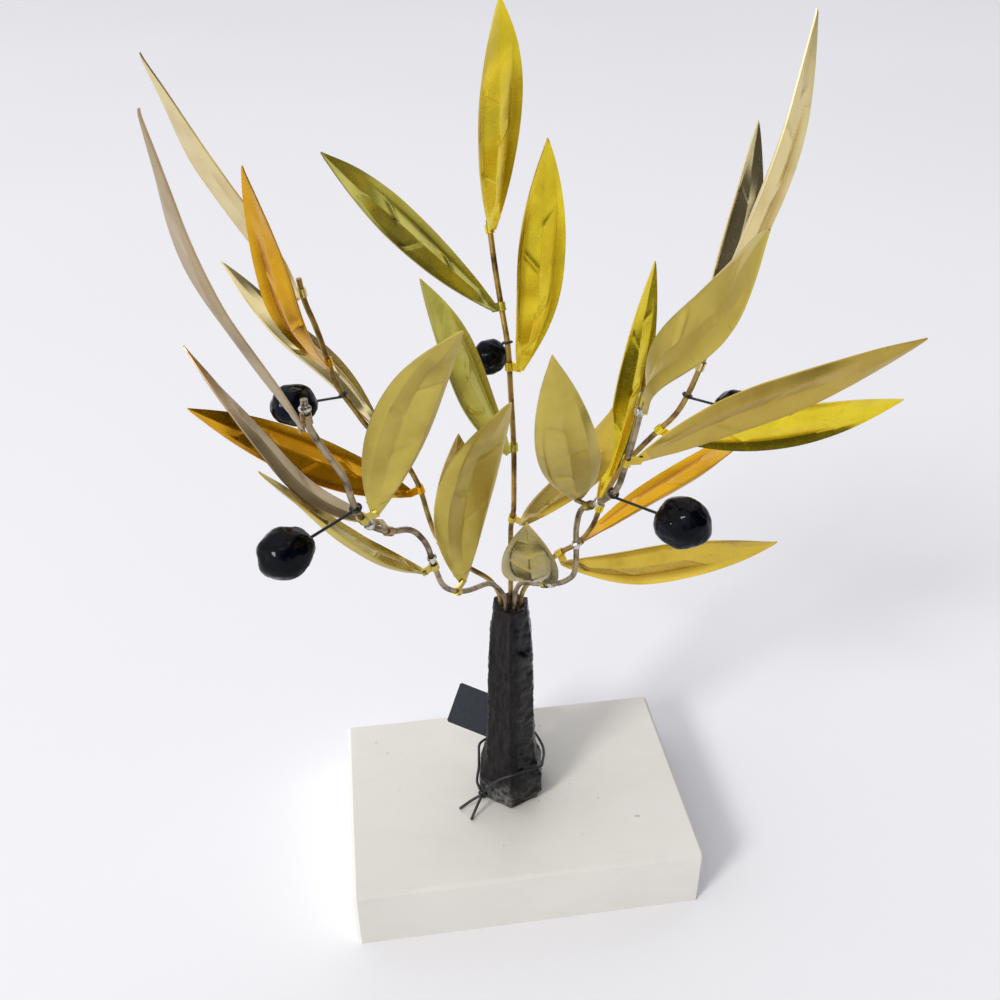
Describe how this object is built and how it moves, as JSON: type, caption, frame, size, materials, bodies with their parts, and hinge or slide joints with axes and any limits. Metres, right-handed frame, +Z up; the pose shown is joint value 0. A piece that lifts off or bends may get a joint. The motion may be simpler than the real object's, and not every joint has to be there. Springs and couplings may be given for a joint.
{
  "type": "olive tree sculpture",
  "caption": "Table sculpture of an olive tree: stamped brass leaves wrapped on bent brass wires, a rough dark trunk, glossy black olives and a marble slab.",
  "frame": {"origin": "centre of the slab's underside", "axes": "+X along the slab's long front edge, +Y away from the front, +Z up"},
  "size_m": [0.2512, 0.1839, 0.3631],
  "materials": {
    "white_marble": "polished white marble with faint veins",
    "dark_bronze": "rough faceted dark patina with a slight gloss",
    "plated_steel": "plain plated steel",
    "brass_wire": "drawn wire, aged",
    "brass_sheet": "satin stamped sheet, fine cross lines",
    "black_wire": "black",
    "olive_glaze": "glossy black",
    "silver_solder": "bright flowed solder",
    "tag_card": "matt dark blue-grey card",
    "black_cord": "thin waxed cord"
  },
  "bodies": {
    "tree": {"centre_branch": "brass_wire", "centre_leaf_1": "brass_sheet", "centre_leaf_2": "brass_sheet", "centre_leaf_3": "brass_sheet", "centre_leaf_4": "brass_sheet", "centre_leaf_5": "brass_sheet", "centre_olive": "olive_glaze", "centre_olive_stalk": "black_wire", "left_back_branch": "brass_wire", "left_back_leaf_1": "brass_sheet", "left_back_leaf_2": "brass_sheet", "left_back_leaf_3": "brass_sheet", "left_back_leaf_4": "brass_sheet", "left_back_leaf_5": "brass_sheet", "left_back_olive": "olive_glaze", "left_back_olive_stalk": "black_wire", "left_front_branch": "brass_wire", "left_front_leaf_1": "brass_sheet", "left_front_leaf_2": "brass_sheet", "left_front_leaf_3": "brass_sheet", "left_front_leaf_4": "brass_sheet", "left_front_leaf_5": "brass_sheet", "left_front_olive": "olive_glaze", "left_front_olive_stalk": "black_wire", "left_front_solder_1": "silver_solder", "left_front_solder_2": "silver_solder", "left_front_solder_3": "silver_solder", "marble_base": "white_marble", "right_back_branch": "brass_wire", "right_back_leaf_1": "brass_sheet", "right_back_leaf_2": "brass_sheet", "right_back_leaf_3": "brass_sheet", "right_back_leaf_4": "brass_sheet", "right_back_leaf_5": "brass_sheet", "right_back_leaf_6": "brass_sheet", "right_back_olive": "olive_glaze", "right_back_olive_stalk": "black_wire", "right_front_branch": "brass_wire", "right_front_leaf_1": "brass_sheet", "right_front_leaf_2": "brass_sheet", "right_front_leaf_3": "brass_sheet", "right_front_leaf_4": "brass_sheet", "right_front_olive": "olive_glaze", "right_front_olive_stalk": "black_wire", "right_front_solder_1": "silver_solder", "right_front_solder_2": "silver_solder", "right_front_solder_3": "silver_solder", "right_front_solder_4": "silver_solder", "stud_nut": "plated_steel", "stud_washer": "plated_steel", "tag_cord": "black_cord", "trunk": "dark_bronze", "trunk_stud": "plated_steel"},
    "tag": {"hang_tag": "tag_card"}
  },
  "joints": [
    {"name": "tag_swing", "type": "hinge", "parent": "tree", "child": "tag", "pos_m": [0.00323, 0.02054, 0.0476], "axis": [0, 0, 1], "range_deg": [-8, 8]}
  ]
}
